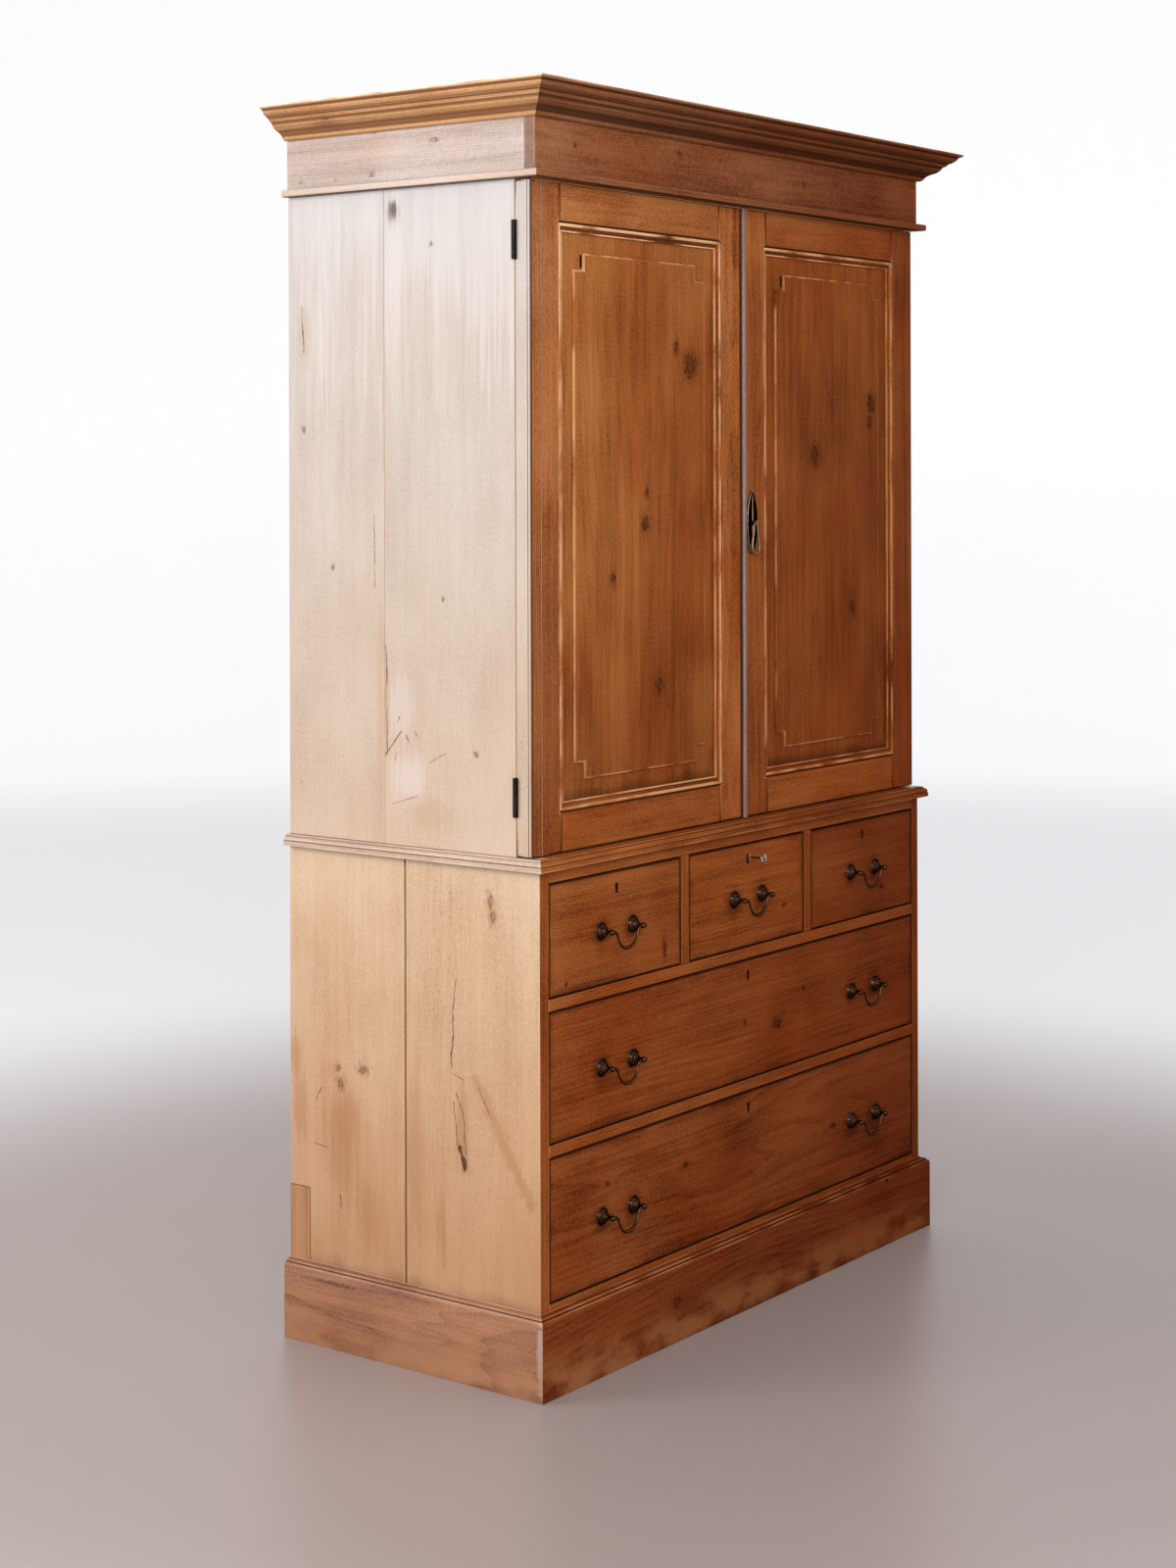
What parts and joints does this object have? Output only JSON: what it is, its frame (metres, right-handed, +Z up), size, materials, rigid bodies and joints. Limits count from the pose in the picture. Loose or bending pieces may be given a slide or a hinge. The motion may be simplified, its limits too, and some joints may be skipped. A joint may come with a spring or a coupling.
{
  "type": "linen press",
  "caption": "Free-standing pine linen press: a two-door panelled cupboard under a moulded cornice, on a chest of drawers with swan-neck handles and a plinth.",
  "frame": {"origin": "on the floor under the middle of the overall box", "axes": "+Z up, the doors and drawers face -Y, +X to the right seen from the front"},
  "size_m": [1.3678, 0.6148, 2.12],
  "materials": {
    "front_pine": "waxed",
    "drawer_pine": "waxed",
    "side_pine": "waxed, bleached",
    "inside_pine": "bare",
    "brass": "dark antique",
    "iron": "dark",
    "steel": "worn"
  },
  "bodies": {
    "case": {"plinth": "front_pine", "lower_side_left": "side_pine", "lower_side_right": "side_pine", "lower_bottom": "front_pine", "drawer_divider_lower": "front_pine", "drawer_divider_upper": "front_pine", "lower_back": "inside_pine", "lower_top": "front_pine", "drawer_partition_left": "front_pine", "drawer_partition_right": "front_pine", "waist_moulding": "front_pine", "upper_side_left": "side_pine", "upper_side_right": "side_pine", "upper_bottom": "front_pine", "upper_top": "front_pine", "upper_back": "inside_pine", "shelf_lower": "inside_pine", "shelf_upper": "inside_pine", "frieze_frame": "front_pine", "cornice_moulding": "front_pine", "hinge_fixed_left_top": "iron", "hinge_fixed_left_bottom": "iron", "hinge_fixed_right_top": "iron", "hinge_fixed_right_bottom": "iron"},
    "door_left": {"hanging_stile_left": "front_pine", "meeting_stile_left": "front_pine", "top_rail_left": "front_pine", "bottom_rail_left": "front_pine", "panel_left": "front_pine", "hinge_door_left_top": "iron", "hinge_door_left_bottom": "iron"},
    "door_right": {"hanging_stile_right": "front_pine", "meeting_stile_right": "front_pine", "top_rail_right": "front_pine", "bottom_rail_right": "front_pine", "panel_right": "front_pine", "hinge_door_right_top": "iron", "hinge_door_right_bottom": "iron", "astragal": "front_pine", "pull_plate": "brass"},
    "drop": {"pull_drop": "brass"},
    "drawer_small_left": {"drawer_front_small_left": "drawer_pine", "drawer_box_small_left": "inside_pine"},
    "bail_small_left": {"bail_small_left": "brass"},
    "drawer_small_middle": {"drawer_front_small_middle": "drawer_pine", "drawer_box_small_middle": "inside_pine"},
    "bail_small_middle": {"bail_small_middle": "brass"},
    "drawer_small_right": {"drawer_front_small_right": "drawer_pine", "drawer_box_small_right": "inside_pine"},
    "bail_small_right": {"bail_small_right": "brass"},
    "drawer_middle": {"drawer_front_middle": "drawer_pine", "drawer_box_middle": "inside_pine"},
    "bail_middle_left": {"bail_middle_left": "brass"},
    "bail_middle_right": {"bail_middle_right": "brass"},
    "drawer_bottom": {"drawer_front_bottom": "drawer_pine", "drawer_box_bottom": "inside_pine"},
    "bail_bottom_left": {"bail_bottom_left": "brass"},
    "bail_bottom_right": {"bail_bottom_right": "brass"},
    "key": {"key": "steel"},
    "bolt": {"lock_bolt": "iron"}
  },
  "joints": [
    {"name": "door_left_hinge", "type": "hinge", "parent": "case", "child": "door_left", "pos_m": [-0.615, -0.19475, 1.4185], "axis": [0, 0, -1], "range_deg": [0, 175]},
    {"name": "door_right_hinge", "type": "hinge", "parent": "case", "child": "door_right", "pos_m": [0.615, -0.19475, 1.4185], "axis": [0, 0, 1], "range_deg": [0, 175]},
    {"name": "drop_pivot", "type": "hinge", "parent": "door_right", "child": "drop", "pos_m": [0.0321, -0.23785, 1.3995], "axis": [-1, 0, 0], "range_deg": [-3, 95]},
    {"name": "drawer_small_left_slide", "type": "slide", "parent": "case", "child": "drawer_small_left", "axis": [0, -1, 0], "range_m": [0, 0.4]},
    {"name": "bail_small_left_pivot", "type": "hinge", "parent": "drawer_small_left", "child": "bail_small_left", "pos_m": [-0.39867, -0.26255, 0.7305], "axis": [-1, 0, 0], "range_deg": [-30, 95]},
    {"name": "drawer_small_middle_slide", "type": "slide", "parent": "case", "child": "drawer_small_middle", "axis": [0, -1, 0], "range_m": [0, 0.4]},
    {"name": "bail_small_middle_pivot", "type": "hinge", "parent": "drawer_small_middle", "child": "bail_small_middle", "pos_m": [0, -0.26255, 0.7305], "axis": [-1, 0, 0], "range_deg": [-30, 95]},
    {"name": "drawer_small_right_slide", "type": "slide", "parent": "case", "child": "drawer_small_right", "axis": [0, -1, 0], "range_m": [0, 0.4]},
    {"name": "bail_small_right_pivot", "type": "hinge", "parent": "drawer_small_right", "child": "bail_small_right", "pos_m": [0.39867, -0.26255, 0.7305], "axis": [-1, 0, 0], "range_deg": [-30, 95]},
    {"name": "drawer_middle_slide", "type": "slide", "parent": "case", "child": "drawer_middle", "axis": [0, -1, 0], "range_m": [0, 0.4]},
    {"name": "bail_middle_left_pivot", "type": "hinge", "parent": "drawer_middle", "child": "bail_middle_left", "pos_m": [-0.39867, -0.26255, 0.50475], "axis": [-1, 0, 0], "range_deg": [-30, 95]},
    {"name": "bail_middle_right_pivot", "type": "hinge", "parent": "drawer_middle", "child": "bail_middle_right", "pos_m": [0.39867, -0.26255, 0.50475], "axis": [-1, 0, 0], "range_deg": [-30, 95]},
    {"name": "drawer_bottom_slide", "type": "slide", "parent": "case", "child": "drawer_bottom", "axis": [0, -1, 0], "range_m": [0, 0.4]},
    {"name": "bail_bottom_left_pivot", "type": "hinge", "parent": "drawer_bottom", "child": "bail_bottom_left", "pos_m": [-0.39867, -0.26255, 0.25775], "axis": [-1, 0, 0], "range_deg": [-30, 95]},
    {"name": "bail_bottom_right_pivot", "type": "hinge", "parent": "drawer_bottom", "child": "bail_bottom_right", "pos_m": [0.39867, -0.26255, 0.25775], "axis": [-1, 0, 0], "range_deg": [-30, 95]},
    {"name": "key_turn", "type": "hinge", "parent": "drawer_small_middle", "child": "key", "pos_m": [0, -0.23955, 0.8015], "axis": [0, 1, 0], "range_deg": [0, 360]},
    {"name": "bolt_slide", "type": "slide", "parent": "drawer_small_middle", "child": "bolt", "axis": [0, 0, 1], "range_m": [0, 0.008]}
  ],
  "couplings": [
    {"joint": "key_turn", "follows": "bolt_slide", "rad_per_m": 785.39}
  ]
}
